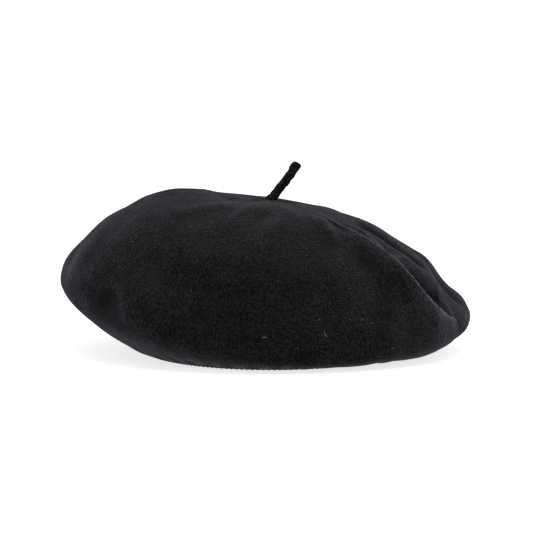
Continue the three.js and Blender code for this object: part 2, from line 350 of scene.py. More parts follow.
# Round dents: place in plan, depth and radius. A negative depth is a swelling.
DENTS = [
    {"at": (-106, -42), "depth": 1.1, "radius": 10},
    {"at": (-116, -36), "depth": -3.6, "radius": 20},
    {"at": (-100, -16), "depth": -2.2, "radius": 16},
    {"at": (-98, -72), "depth": 1.3, "radius": 9},
    {"at": (-82, -37), "depth": -5.2, "radius": 33},
    {"at": (-56, -18), "depth": -2.4, "radius": 26},
    {"at": (26, 20), "depth": 1.4, "radius": 15},
    {"at": (64, 4), "depth": -1.9, "radius": 20},
    {"at": (111, 8), "depth": 4.6, "radius": 16},
    {"at": (66, 96), "depth": 1.4, "radius": 22},
    {"at": (-40, 104), "depth": 3.0, "radius": 20},
]


def lift_to(form, plan):
    """The points of the crown's upper side that lie above points given in plan."""
    rows = form.shape[1]
    widest = np.linalg.norm(form[..., :2], axis=-1).argmax(axis=1)
    top = form[np.arange(rows)[None, :] <= widest[:, None]]
    nearest = [np.argmin((top[:, 0] - x) ** 2 + (top[:, 1] - y) ** 2) for x, y in plan]
    return top[nearest]


def fold_relief(form, normals, fold):
    """How far one fold pushes each point of the crown outwards, and how much highlight is painted on its
    crest there.
    """
    knots = np.array(fold["line"], float)
    line = np.column_stack([lift_to(form, knots[:, :2]), knots[:, 2]])
    share = np.linspace(0, len(line) - 1, 40)
    line = np.column_stack([np.interp(share, np.arange(len(line)), column) for column in line.T])
    line, crest = line[:, :3], line[:, 3]
    points = form.reshape(-1, 3)
    best = np.full(len(points), np.inf)
    side = np.zeros(len(points))
    height = np.zeros(len(points))
    flat_normals = normals.reshape(-1, 3)
    for i in range(len(line) - 1):
        start, step = line[i], line[i + 1] - line[i]
        t = np.clip((points - start) @ step / (step @ step), 0, 1)
        away = points - start - t[:, None] * step
        distance = np.linalg.norm(away, axis=1)
        closer = distance < best
        best[closer] = distance[closer]
        left = np.einsum("ij,ij->i", np.cross(flat_normals, step), away)
        side[closer] = np.sign(left[closer])
        height[closer] = (crest[i] + t * (crest[i + 1] - crest[i]))[closer]
    width = np.where(side > 0, fold["left"], fold["right"])
    sharp = fold.get("sharp", False)
    power = 1.15 if sharp else 2.0
    slope = np.hypot(best, CREST_ROUNDING) - CREST_ROUNDING if sharp else best
    relief = height * np.exp(-((slope / width) ** power))
    # a highlight painted in the wool's colour and sheen along the crest, narrow on each side of it
    reach = np.where(side > 0, PAINTED_SHINE_LEFT, PAINTED_SHINE_RIGHT)
    painted_shine = fold.get("painted_shine", 0) * np.exp(-((best / reach) ** 2))
    painted_shine *= np.sqrt(np.clip(height / max(crest.max(), 1), 0, 1))
    return np.stack([relief, painted_shine]).reshape(2, *form.shape[:2])


def dent_depth(form, dent):
    centre = lift_to(form, [dent["at"]])[0]
    away = np.linalg.norm(form - centre, axis=-1)
    return dent["depth"] * np.exp(-((away / dent["radius"]) ** 2))


def soft_noise(form, wavelength):
    """A smooth random field over space, from about -1 to 1."""
    directions = normalise(random.normal(size=(NOISE_WAVES, 3)))
    phases = random.uniform(0, TURN, NOISE_WAVES)
    lengths = wavelength * random.uniform(0.7, 1.5, NOISE_WAVES)
    total = np.zeros(form.shape[:2])
    for direction, phase, length in zip(directions, phases, lengths):
        total += np.sin(form @ direction * TURN / length + phase)
    return total * math.sqrt(2 / NOISE_WAVES) / 2


def gathers(columns, rows):
    """Small radial puckers: deepest at the hem, where the crown is eased on to the band, and at the stem."""
    azimuth = azimuths(columns)
    wander = 0.5 * np.sin(3 * azimuth + 1) + 0.7 * np.sin(5 * azimuth + 2) + 0.4 * np.sin(9 * azimuth)
    pleats = np.sin(46 * azimuth + 3 * wander) * (0.65 + 0.35 * np.sin(7 * azimuth + wander))
    row = np.arange(rows)[None, :]
    at_hem = smoothstep(rows - 24, rows - 4, row) * 0.6
    creases = np.sin(9 * azimuth + wander) * 0.6 + np.sin(14 * azimuth + 2 * wander) * 0.4
    at_stem = np.exp(-(((row - 7) / 6) ** 2)) * 0.5
    return pleats * at_hem + creases * at_stem


def closing_groove(form):
    """The faint groove outside the linked seam that runs down the back."""
    beside = np.abs(form[..., 0]) / 1.2
    behind = smoothstep(6, 16, form[..., 1])
    return -0.55 * np.exp(-(beside**2)) * behind


# ---------------- cloth simulation

SIM_COLUMNS = 120
SIM_ROWS = 40
SIM_FRAMES = 20
SIM_CAP = 1.6

# The cloth is a little too large for its form, which is a shrink below zero, and is lightly blown up
CLOTH = {
    "quality": 5,
    "mass": 0.2,
    "tension_stiffness": 12,
    "compression_stiffness": 12,
    "shear_stiffness": 4,
    "bending_stiffness": 0.6,
    "vertex_group_mass": "held",
    "shrink_min": -0.035,
    "use_pressure": True,
    "uniform_pressure_force": 1.5,
}


def smooth_weights(fine, coarse, closed):
    """A matrix that reads cubic values between the coarse samples at each fine one."""
    weights = np.zeros((fine, coarse))
    span = coarse if closed else coarse - 1
    last = fine if closed else fine - 1
    for i in range(fine):
        place = i / last * span
        base = int(math.floor(place))
        t = place - base
        cubic = [
            (-t + 2 * t**2 - t**3) / 2,
            (2 - 5 * t**2 + 3 * t**3) / 2,
            (t + 4 * t**2 - 3 * t**3) / 2,
            (-(t**2) + t**3) / 2,
        ]
        for k, weight in zip(range(base - 1, base + 3), cubic):
            k = k % coarse if closed else min(max(k, 0), coarse - 1)
            weights[i, k] += weight
    return weights


def simulate_wrinkles():
    """Lets the crown's cloth buckle a little, as slack wool does, and returns how far each point went."""
    form = crown_form(SIM_COLUMNS, SIM_ROWS, 6.0)
    columns, rows = form.shape[:2]
    faces = grid_faces(columns, rows, True, False)
    cloth = make_object("wrinkle_cloth", form, faces, None)
    held = cloth.vertex_groups.new(name="held")
    fixed = [i * rows + j for i in range(columns) for j in (0, 1, rows - 1)]
    held.add(fixed, 1.0, "REPLACE")
    modifier = cloth.modifiers.new("cloth", "CLOTH")
    for setting, value in CLOTH.items():
        setattr(modifier.settings, setting, value)
    modifier.settings.effector_weights.gravity = 0
    modifier.collision_settings.use_self_collision = False
    modifier.point_cache.frame_start = 1
    modifier.point_cache.frame_end = SIM_FRAMES
    for step in range(1, SIM_FRAMES + 1):
        scene.frame_set(step)
    graph = bpy.context.evaluated_depsgraph_get()
    result = cloth.evaluated_get(graph).to_mesh()
    moved = np.zeros(len(result.vertices) * 3)
    result.vertices.foreach_get("co", moved)
    moved = moved.reshape(form.shape) / MM - form
    bpy.data.objects.remove(cloth)
    scene.frame_set(1)
    moved = blur(moved - blur(moved, 5, 4), 1, 1)
    size = np.linalg.norm(moved, axis=-1, keepdims=True)
    return moved * SIM_CAP * np.tanh(size / SIM_CAP) / np.maximum(size, 1e-9)


def crown_wrinkles():
    """The simulated wrinkles, read smoothly on the crown's fine grid."""
    coarse = simulate_wrinkles()
    around = smooth_weights(AROUND, SIM_COLUMNS, True)
    along = smooth_weights(ROWS, SIM_ROWS, False)
    return np.einsum("ai,ijk,bj->abk", around, coarse, along)


# ---------------- materials

def shader_material(name, base, roughness, **sockets):
    """A new material with its shader's even values set on the shader's own sockets."""
    material = bpy.data.materials.new(name)
    material.use_nodes = True
    tree = material.node_tree
    shader = tree.nodes["Principled BSDF"]
    shader.inputs["Base Color"].default_value = (*base, 1)
    shader.inputs["Roughness"].default_value = roughness
    for socket, value in sockets.items():
        shader.inputs[socket.replace("_", " ")].default_value = value
    return material, tree, shader


def add_node(tree, kind, inputs, output=0, **settings):
    """Adds a shader node and gives one of its outputs. Each input is a number, a tuple or an output."""
    node = tree.nodes.new(f"ShaderNode{kind}")
    for setting, value in settings.items():
        setattr(node, setting, value)
    for key, value in inputs.items():
        if isinstance(value, bpy.types.NodeSocket):
            tree.links.new(value, node.inputs[key])
        else:
            node.inputs[key].default_value = value
    return node.outputs[output]


def math_node(tree, operation, *values):
    return add_node(tree, "Math", dict(enumerate(values)), operation=operation)


def noise_node(tree, vector, scale, detail=2.0, roughness=0.5, stretch=None):
    """Noise over a place vector, which may be stretched first along each axis."""
    if stretch:
        vector = add_node(tree, "Mapping", {"Vector": vector, "Scale": stretch})
    inputs = {"Vector": vector, "Scale": scale, "Detail": detail, "Roughness": roughness}
    return add_node(tree, "TexNoise", inputs, "Fac")


def ramp_node(tree, value, low, high):
    """Maps low..high to 0..1 smoothly."""
    inputs = {"Value": value, "From Min": low, "From Max": high}
    return add_node(tree, "MapRange", inputs, interpolation_type="SMOOTHSTEP")


def mix_colour(tree, share, first, second):
    """Mixes two colours. The first may be another node's output."""
    if not isinstance(first, bpy.types.NodeSocket):
        first = (*first, 1)
    return add_node(tree, "Mix", {"Factor": share, 6: first, 7: (*second, 1)}, 2, data_type="RGBA")


def bump_node(tree, height, strength, distance, **normal):
    """A bump over the shader's own normal, or over one that is given as Normal."""
    inputs = {"Strength": strength, "Distance": distance, "Height": height, **normal}
    return add_node(tree, "Bump", inputs)


def place_vector(tree):
    return add_node(tree, "TexCoord", {}, "Object")


def split_vector(tree, vector, axis):
    return add_node(tree, "SeparateXYZ", {0: vector}, axis)


def knit_pattern(tree):
    """Height of plain knitting, from 0 in the gaps to 1 on the yarn of its V-shaped stitches, and a
    chance value of each stitch's own."""
    knit = add_node(tree, "Attribute", {}, "Vector", attribute_name="knit")
    wale = split_vector(tree, knit, "X")
    across = math_node(tree, "FRACT", wale)
    from_middle = math_node(tree, "ABSOLUTE", math_node(tree, "SUBTRACT", across, 0.5))
    along = math_node(tree, "MULTIPLY_ADD", from_middle, 0.9, split_vector(tree, knit, "Y"))
    stitch = {"X": math_node(tree, "FLOOR", wale), "Y": math_node(tree, "FLOOR", along)}
    chance = add_node(tree, "TexWhiteNoise", {"Vector": add_node(tree, "CombineXYZ", stitch)}, "Value")
    rows = math_node(tree, "COSINE", math_node(tree, "MULTIPLY", along, TURN))
    rows = math_node(tree, "MULTIPLY_ADD", rows, 0.18, 0.82)
    gap = ramp_node(tree, from_middle, 0.47, 0.2)
    notch = math_node(tree, "MULTIPLY_ADD", ramp_node(tree, from_middle, 0.0, 0.12), 0.15, 0.85)
    height = math_node(tree, "MULTIPLY", math_node(tree, "MULTIPLY", gap, notch), rows)
    return height, math_node(tree, "POWER", chance, 2.0)


def dress_shader(tree, shader, colour, normal):
    """Feeds a shader its colour and its bumps."""
    tree.links.new(colour, shader.inputs["Base Color"])
    tree.links.new(normal, shader.inputs["Normal"])


SHEEN = 0.33


def wool_material(name, dark, light):
    """Felted wool: stitches half hidden under a nap of fine fibres, with paler flecks."""
    material, tree, shader = shader_material(
        name, dark, 0.92, Sheen_Weight=SHEEN, Sheen_Roughness=0.24,
        Sheen_Tint=(0.6, 0.6, 0.76, 1), Specular_IOR_Level=0.12,
    )
    place = place_vector(tree)
    cloudy = ramp_node(tree, noise_node(tree, place, 55, 2.0), 0.35, 0.65)
    nap = ramp_node(tree, noise_node(tree, place, 820, 3.0, 0.65), 0.36, 0.68)
    tufts = ramp_node(tree, noise_node(tree, place, 330, 2.0, 0.6), 0.3, 0.7)
    shade = math_node(tree, "MULTIPLY", nap, math_node(tree, "MULTIPLY_ADD", tufts, 0.5, 0.5))
    visible = math_node(tree, "MULTIPLY_ADD", cloudy, 0.25, 0.75)
    height, chance = knit_pattern(tree)
    stitches = math_node(tree, "MULTIPLY", height, visible)
    uneven = math_node(tree, "MULTIPLY_ADD", chance, 1.3, math_node(tree, "MULTIPLY", shade, 0.9))
    # The colour is darkest in the gaps between stitches, a painted shade, over the random tone of the nap and
    # of each stitch.
    shade = math_node(tree, "MULTIPLY", math_node(tree, "MULTIPLY_ADD", stitches, 1.2, 0.02), uneven)
    normal = bump_node(tree, stitches, 0.7, 0.0007)
    # The crest attribute paints highlight on crests and shade in hollows, in the colour and in the sheen.
    crest = add_node(tree, "Attribute", {}, "Fac", attribute_name="crest")
    painted_crest_light = math_node(tree, "MULTIPLY_ADD", crest, 1.3, 1.0)
    painted_crest_light = math_node(tree, "MAXIMUM", painted_crest_light, 0.5)
    shade = math_node(tree, "MULTIPLY", shade, painted_crest_light)
    tree.links.new(math_node(tree, "MULTIPLY", painted_crest_light, SHEEN), shader.inputs["Sheen Weight"])
    colour = mix_colour(tree, shade, dark, light)
    flecks = ramp_node(tree, noise_node(tree, place, 950, 1.0, 0.8), 0.7, 0.8)
    pale = tuple(3 * value for value in light)
    colour = mix_colour(tree, math_node(tree, "MULTIPLY", flecks, 0.6), colour, pale)
    normal = bump_node(tree, tufts, 0.4, 0.0005, Normal=normal)
    normal = bump_node(tree, nap, 0.5, 0.0003, Normal=normal)
    dress_shader(tree, shader, colour, normal)
    return material


def thread_material(name, dark, light):
    """Twisted sewing thread with a slight lustre."""
    material, tree, shader = shader_material(
        name, dark, 0.55, Sheen_Weight=0.3, Sheen_Roughness=0.4, Specular_IOR_Level=0.35
    )
    strands = noise_node(tree, place_vector(tree), 2600, 2.0)
    colour = mix_colour(tree, strands, dark, light)
    dress_shader(tree, shader, colour, bump_node(tree, strands, 0.4, 0.0001))
    return material


def tape_material(name, base, roughness, rib, grain, shades, bump, **sockets):
    """Woven tape: even ribs along it over a fine grain of random tone, with highlight painted where the ribs
    stand up and shade painted between them.
    """
    material, tree, shader = shader_material(name, base, roughness, **sockets)
    place = place_vector(tree)
    turns = math_node(tree, "MULTIPLY", split_vector(tree, place, "Z"), TURN / rib["width"])
    ribs = math_node(tree, "SINE", turns)
    height = math_node(tree, "MULTIPLY_ADD", ribs, rib["depth"], noise_node(tree, place, **grain))
    # painted highlight on the ribs and painted shade between them
    colour = mix_colour(tree, ramp_node(tree, height, *rib["range"]), *shades)
    dress_shader(tree, shader, colour, bump_node(tree, height, **bump))
    return material


WOOL = wool_material("felted_wool_knit", (0.0007, 0.0007, 0.0007), (0.0275, 0.0268, 0.0272))
CORD_WOOL = wool_material("knitted_cord_wool", (0.0015, 0.0015, 0.0015), (0.044, 0.043, 0.041))
THREAD = thread_material("black_thread", (0.006, 0.006, 0.0065), (0.03, 0.03, 0.032))
LINT_FIBRE = thread_material("pale_lint", (0.1, 0.095, 0.09), (0.32, 0.31, 0.3))
ELASTIC = tape_material(
    "woven_elastic", (0.02, 0.02, 0.021), 0.7,
    rib={"width": 0.0011, "depth": 0.3, "range": (0.0, 1.0)},
    grain={"scale": 1500},
    shades=[(0.01, 0.01, 0.01), (0.04, 0.04, 0.042)],
    bump={"strength": 0.5, "distance": 0.0003},
    Specular_IOR_Level=0.3,
)
SATIN = tape_material(
    "satin_tape", (0.62, 0.6, 0.55), 0.42,
    rib={"width": 0.0005, "depth": 0.2, "range": (0.1, 0.9)},
    grain={"scale": 1800, "roughness": 0.6, "stretch": (1, 1, 0.1)},
    shades=[(0.5, 0.48, 0.43), (0.7, 0.68, 0.63)],
    bump={"strength": 0.35, "distance": 0.00015},
    Sheen_Weight=0.3, Specular_IOR_Level=0.5,
)


# ---------------- the crown

def crown_surface():
    """The crown's outer surface with its folds, dents, gathers and wrinkles, and the highlight painted along
    its crests and round the stem.
    """
    form = crown_form(AROUND, ROWS, CROWN_HOLE)
    normals = surface_normals(form)
    height, painted_shine = sum(fold_relief(form, normals, fold) for fold in FOLDS)
    # a highlight painted round the stem
    painted_shine += PAINTED_LIGHT_AT_STEM * smoothstep(60, 36, np.linalg.norm(form[..., :2], axis=-1))
    height -= sum(dent_depth(form, dent) for dent in DENTS)
    height += sum(uneven["height"] * soft_noise(form, uneven["wavelength"]) for uneven in UNEVENNESS)
    height += gathers(AROUND, ROWS) + closing_groove(form)
    edge = smoothstep(ROWS - 1, ROWS - 6, np.arange(ROWS))
    surface = form + normals * (height * (0.2 + 0.8 * edge))[..., None]
    # the wrinkles fade towards the front, the stem and the hem
    free = 0.2 + 0.8 * smoothstep(-20, 50, form[..., 1])
    free *= smoothstep(30, 85, np.linalg.norm(form[..., :2], axis=-1))
    surface = surface + crown_wrinkles() * (edge * free)[..., None]
    surface[..., 2] = np.maximum(surface[..., 2], HEM_LIFT)
    return surface, painted_shine


def knit_coordinates(surface):
    """Wale and course at every corner of the crown's faces.

    Wales run out from the centre. Their number grows in steps, and each sector takes its steps in
    rows of its own, so the added wales are scattered over the crown as they are in the real thing.
    """
    columns, rows = surface.shape[:2]
    radius = np.linalg.norm(surface[..., :2], axis=-1).mean(axis=0)
    step = np.linalg.norm(np.diff(surface, axis=1), axis=-1).mean(axis=0)
    course = np.concatenate([[0], np.cumsum(step)]) / KNIT_COURSE
    shift = random.integers(0, STEP_ROWS, SECTORS)[np.arange(columns) * SECTORS // columns]
    wales = np.zeros((columns, rows, 4))
    courses = np.zeros((columns, rows, 4))
    index = np.arange(columns)
    for j in range(rows):
        skip = 1 if j < ROWS else INNER_SKIP
        lasts, offset = STEP_ROWS // skip, shift // skip
        middle = (j + offset) // lasts * lasts - offset + lasts // 2
        count = np.maximum(8, np.round(TURN * radius[np.clip(middle, 0, rows - 1)] / KNIT_WALE))
        left, right = index * count / columns, (index + 1) * count / columns
        wales[:, j] = np.stack([left, right, right, left], axis=-1)
        end = course[j + 1] if j + 1 < rows else course[j] + 1
        courses[:, j] = np.array([course[j], course[j], end, end])
    return wales, courses


def store_painted_crest_light(piece, surface, normals, painted_shine):
    """Keeps how sharply each point stands out, for a highlight painted on crests and a shade painted in
    hollows.
    """
    plain = crown_form(AROUND, ROWS, CROWN_HOLE)
    plain_normals = surface_normals(plain)
    # the painted highlight and shade, from the crests' shine and the reliefs below
    crest = painted_shine
    for relief in PAINTED_LIGHT_RELIEFS:
        reach = relief["reach"]
        height = np.einsum("ijk,ijk->ij", surface - blur(surface, reach, reach), normals)
        height -= np.einsum("ijk,ijk->ij", plain - blur(plain, reach, reach), plain_normals)
        crest = crest + relief["share"] * np.clip(height / relief["height"], -1, 1)
    layer = piece.data.attributes.new("crest", "FLOAT", "POINT")
    values = np.zeros((len(surface), len(piece.data.vertices) // len(surface)))
    values[:, : surface.shape[1]] = crest
    layer.data.foreach_set("value", values.astype(np.float32).ravel())


def build_crown():
    surface, painted_shine = crown_surface()
    normals = surface_normals(blur(surface, 4, 3))
    inner = blur(surface, 3, 2) - normals * CROWN_WALL
    inner = inner[:, ::-1][:, ::INNER_SKIP]
    inner[..., 2] = np.maximum(inner[..., 2], HEM_LIFT + 0.2)
    loop = np.concatenate([surface, inner], axis=1)
    faces = grid_faces(*loop.shape[:2], True, True)
    crown = make_object("knitted_crown", loop, faces, WOOL, "crown")
    store_knit(crown, *knit_coordinates(loop))
    store_painted_crest_light(crown, surface, normals, painted_shine)
    finish_piece(crown, "wool_knit", "crown")
    return crown, surface, inner


# Where the larger stray fibres lie on the crown, and how long they are
LINT = [
    ((-81, -57, 76), 1.8),
    ((-83, -58, 73), 2.2),
    ((-49, -59, 82), 1.2),
    ((-36, -56, 84), 1.5),
    ((35, -51, 80), 1.2),
    ((-4, -113, 22), 3.6),
    ((32, -106, 23), 4.0),
    ((46, -96, 30), 1.2),
    ((53, -93, 30), 1.4),
    ((59, -91, 28), 1.2),
    ((71, -91, 13), 2.4),
]
LINT_SPECKS = 60


def build_lint(surface):
    """Stray pale fibres and specks that cling to the wool."""
    normals = surface_normals(surface)
    seen = slice(0, ROWS * 7 // 8)
    top = surface[:, seen].reshape(-1, 3)
    outwards = normals[:, seen].reshape(-1, 3)
    fibres = [(np.argmin(np.linalg.norm(top - place, axis=1)), length) for place, length in LINT]
    fibres += [(random.integers(len(top)), random.uniform(0.6, 1.6)) for _ in range(LINT_SPECKS)]
    stretches = []
    for place, length in fibres:
        up = outwards[place]
        along = normalise(np.cross(up, random.normal(size=3)))
        across = np.cross(up, along)
        t = np.linspace(-0.5, 0.5, 7)[:, None]
        curl = random.uniform(0.2, 0.9)
        path = top[place] + up * (0.2 + 0.25 * t) + length * (along * t + across * curl * (t**2 - 0.1))
        thin = (0.11 + 0.03 * length) * np.sqrt(1.02 - (2 * t) ** 2)
        stretches.append((path, thin, 5, False, up))
    lint = make_object("stray_fibres", *tubes(stretches), LINT_FIBRE, "crown")


# ---------------- headband and elastic

BAND_RIBS = 180
BAND_STEPS_PER_RIB = 4
RIB_DEPTH = 0.3

# Half of the band's folded section, as [distance from the fold's middle plane, z]: up the inside of
# the channel's wall from the fold, over the top edge and down the face.
CHANNEL_WALL = [
    (0, 1.6), (0.7, 1.9), (1.0, 2.5), (1.0, 6), (1.0, 11), (1.0, 16.4), (0.8, 17.4), (0.3, 18.7), (0.12, 19.7)
]
TOP_EDGE = [(0.6, 20.0), (1.5, 19.95), (2.2, 19.4), (2.55, 18.4)]
FACE = [(2.6, 16), (2.6, 13), (2.6, 10), (2.6, 7), (2.6, 4.4), (2.55, 2.6), (2.2, 1.1), (1.4, 0.3), (0.5, 0)]


def band_section():
    """The folded band's closed outline as [outwards, z, how much the ribs cut into it] points."""
    half = [(x, z, 0) for x, z in CHANNEL_WALL[1:]]
    half += [(x, z, 0.5) for x, z in TOP_EDGE]
    half += [(x, z, 1) for x, z in FACE]
    middle = BAND_THICKNESS / 2
    outer = [(middle + x, z, rib) for x, z, rib in half]
    inner = [(middle - x, z, rib) for x, z, rib in half]
    return [(middle, CHANNEL_WALL[0][1], 0)] + outer + inner[::-1]


def build_headband():
    """The doubled band: 1 by 1 rib knitting, folded at the bottom, with the elastic's channel inside."""
    columns = BAND_RIBS * BAND_STEPS_PER_RIB
    azimuth = azimuths(columns)
    outwards, z, cut = (np.array(column)[None, :] for column in zip(*band_section()))
    groove = 0.5 - 0.5 * np.cos(BAND_RIBS * azimuth + 0.25 * np.sin(7 * azimuth))
    depth = RIB_DEPTH * cut * (1 - groove)
    middle = BAND_THICKNESS / 2
    outwards = outwards + depth * np.sign(middle - outwards)
    z = z + depth * smoothstep(2.2, 0.3, z)
    ease = 0.1 * np.sin(5 * azimuth + 1) * smoothstep(2, 12, z) * smoothstep(20, 16, z)
    points = round_opening(azimuth, outwards + ease, z)
    rows = points.shape[1]
    faces = grid_faces(columns, rows, True, True)
    band = make_object("ribbed_headband", points, faces, WOOL, "crown")
    course = run_along(np.vstack([points[0], points[0][:1]])) / KNIT_COURSE
    index = np.arange(columns)[:, None] / BAND_STEPS_PER_RIB * 2
    wales = np.stack([index, index + 2 / BAND_STEPS_PER_RIB] * 2, axis=-1)[..., [0, 1, 3, 2]]
    wales = np.broadcast_to(wales, (columns, rows, 4))
    courses = np.stack([course[:-1], course[:-1], course[1:], course[1:]], axis=-1)
    courses = np.broadcast_to(courses, (columns, rows, 4))
    store_knit(band, wales, courses)
    finish_piece(band, "wool_knit", "headband")


def build_elastic():
    """The flat woven elastic in the fold, rippled a little where it has drawn the band in."""
    columns = 360
    azimuth = azimuths(columns)
    low, high = node_box("band_elastic")
    middle = BAND_THICKNESS / 2
    rises = np.linspace(low[2] + 0.3, high[2] - 0.3, 12)
    cords = 0.36 + 0.1 * np.cos(np.arange(12) * math.pi)
    section = [(middle, low[2])] + list(zip(middle + cords, rises)) + [(middle, high[2])]
    section += list(zip(middle - cords[::-1], rises[::-1]))
    outwards, z = (np.array(column)[None, :] for column in zip(*section))
    outwards = outwards + 0.12 * np.sin(41 * azimuth + 0.25 * z)
    points = round_opening(azimuth, outwards, z)
    faces = grid_faces(columns, points.shape[1], True, True)
    elastic = make_object("woven_elastic_tape", points, faces, ELASTIC, "crown")
    finish_piece(elastic, "elastic", "band_elastic")


# ---------------- tubes, threads and cords

# Sewing: the threads' radius, their plies and each ply's sides, and how many stitches each seam has
THREAD_RADIUS = 0.36
THREAD_PLIES = 2
PLY_SIDES = 5
OPENING_STITCHES = 130
CLOSING_STITCHES = 70
TACKING_STITCHES = 9


def path_frames(path, closed, up):
    """Two unit vectors square to a path at each of its points."""
    if closed:
        tangent = np.roll(path, -1, axis=0) - np.roll(path, 1, axis=0)
    else:
        tangent = np.gradient(path, axis=0)
    tangent = normalise(tangent)
    side = normalise(np.cross(tangent, up))
    return side, np.cross(side, tangent)


def tube(path, radius, sides, closed=False, up=(0, 0, 1), start=0):
    """Points and faces of a tube. Its radius is one number, or one for each ring and side."""
    side, lift = path_frames(path, closed, up)
    turn = np.linspace(0, TURN, sides, endpoint=False)
    radius = np.broadcast_to(np.asarray(radius, float), (len(path), sides))
    ring = side[:, None] * np.cos(turn)[:, None] + lift[:, None] * np.sin(turn)[:, None]
    points = path[:, None] + ring * radius[..., None]
    faces = grid_faces(len(path), sides, closed, True, start)
    if not closed:
        last = start + (len(path) - 1) * sides
        faces.append(tuple(range(start, start + sides)))
        faces.append(tuple(range(last + sides - 1, last - 1, -1)))
    return points.reshape(-1, 3), faces


def tubes(stretches):
    """The points and faces of several tubes in one mesh. Each is (path, radius, sides, closed, up)."""
    points, faces = [], []
    for stretch in stretches:
        new_points, new_faces = tube(*stretch, start=sum(map(len, points)))
        points.append(new_points)
        faces += new_faces
    return np.vstack(points), faces


def plied_thread(name, path, radius, node, closed=False, up=(0, 0, 1), twist=2.2):
    """A sewing thread of plies twisted round each other, one turn in each twist millimetres."""
    side, lift = path_frames(path, closed, up)
    run = run_along(np.vstack([path, path[:1]]) if closed else path)
    turns = run[: len(path)] / run[-1] * max(1, round(run[-1] / twist)) * TURN
    stretches = []
    for ply in range(THREAD_PLIES):
        angle = (turns + TURN * ply / THREAD_PLIES)[:, None]
        centre = path + 0.5 * radius * (side * np.cos(angle) + lift * np.sin(angle))
        stretches.append((centre, 0.52 * radius, PLY_SIDES, closed, up))
    thread = make_object(name, *tubes(stretches), THREAD, "crown")
    finish_piece(thread, "thread", node)


def opening_path(offsets, heights):
    """A closed path round the head opening. Offset and height are functions of the stitch's swing."""
    azimuth = np.linspace(0, TURN, OPENING_STITCHES * 10, endpoint=False)
    swing = -np.cos(OPENING_STITCHES * azimuth)
    return round_opening(azimuth, offsets(swing), heights(swing))


def build_hem_seam():
    """Stitches between the crown's edge and the band's face."""
    path = opening_path(lambda swing: 6.5 + 0.25 * swing, lambda swing: 7.5 + 0.7 * swing)
    plied_thread("hem_seam_thread", path, THREAD_RADIUS, "hem_seam", closed=True)


def build_band_topstitch():
    """Zigzag stitches over the band's open top."""
    path = opening_path(
        lambda swing: BAND_THICKNESS / 2 + 1.9 * swing,
        lambda swing: BAND_HEIGHT + 0.45 - 0.75 * np.abs(swing) ** 5,
    )
    plied_thread("band_topstitch_thread", path, THREAD_RADIUS, "band_topstitch", closed=True)


def build_closing_seam(outside, inside):
    """Zigzag linking up the inside of the back, lying on the cloth there."""
    back = AROUND // 4
    path, _ = space_evenly(inside[back, ::-1][4:-3], CLOSING_STITCHES * 8)
    inwards = normalise(np.cross(np.gradient(path, axis=0), (1, 0, 0)))
    centre = outside[back].mean(axis=0)
    inwards *= np.sign(np.einsum("ij,ij->i", centre - path, inwards))[:, None]
    path = path + inwards * 0.45
    path[:, 0] = np.cos(np.arange(len(path)) * TURN / 16)
    plied_thread("closing_seam_thread", path, THREAD_RADIUS, "closing_seam", up=(1, 0, 0))


def under_crown(x, y, inside):
    """Height of the crown's inner face above a point in plan, near the centre."""
    points = inside.reshape(-1, 3)
    upper = points[points[:, 2] > CROWN_HEIGHT - 25]
    away = (upper[:, 0] - x) ** 2 + (upper[:, 1] - y) ** 2
    nearest = np.argsort(away)[:4]
    weight = 1 / (away[nearest] + 0.01)
    return float((upper[nearest, 2] * weight).sum() / weight.sum())


def build_tacking(inside):
    """Small stitches in a ring that hold the stem's knot under the crown."""
    angle = np.linspace(0, TURN, TACKING_STITCHES * 14, endpoint=False)
    radius = 7.6 - 1.3 * np.cos(TACKING_STITCHES * angle)
    x, y = radius * np.cos(angle), radius * np.sin(angle)
    z = np.array([under_crown(a, b, inside) for a, b in zip(x, y)])
    z = (np.roll(z, 1) + z + np.roll(z, -1)) / 3 - 0.5
    plied_thread("stem_tacking_thread", np.stack([x, y, z], -1), 0.34, "stem_tacking", closed=True)


# ---------------- stem

ROOT_LEAN = math.atan2(UPPER_FLEX[0] - LOWER_FLEX[0], UPPER_FLEX[2] - LOWER_FLEX[2])
BEND_LEAN = ROOT_LEAN + math.radians(5)
TIP_LEAN = math.radians(28)
STEM_LENGTH = 18.3
CORD_WALES = 9
CORD_COURSE = 1.5
CORD_SIDES = 72
CORD_RING_GAP = 0.3
LEAN_AXIS = np.array([math.sin(ROOT_LEAN), 0, math.cos(ROOT_LEAN)])
BEND_AXIS = np.array([math.sin(BEND_LEAN), 0, math.cos(BEND_LEAN)])
TIP_AXIS = np.array([math.sin(TIP_LEAN), 0, math.cos(TIP_LEAN)])


def stem_route():
    """The cord's middle line from inside the crown to its tip, evenly spaced, and each point's run."""
    start = LOWER_FLEX - LEAN_AXIS * 5.2
    bend = UPPER_FLEX + BEND_AXIS * STEM_LENGTH / 2
    tip = bend + TIP_AXIS * STEM_LENGTH / 2
    t = np.linspace(0, 1, 60)[:, None]
    curved = (1 - t) ** 2 * UPPER_FLEX + 2 * t * (1 - t) * bend + t**2 * tip
    line = np.vstack([start, curved])
    total = run_along(line)[-1]
    route, even = space_evenly(line, round(total / CORD_RING_GAP))
    wobble = smoothstep(12, 16, even) * smoothstep(total, total - 3, even)
    route[:, 0] += 0.18 * np.sin(even * 0.9 + 0.6) * wobble
    route[:, 1] += 0.2 * np.sin(even * 0.6) * wobble
    return route, even


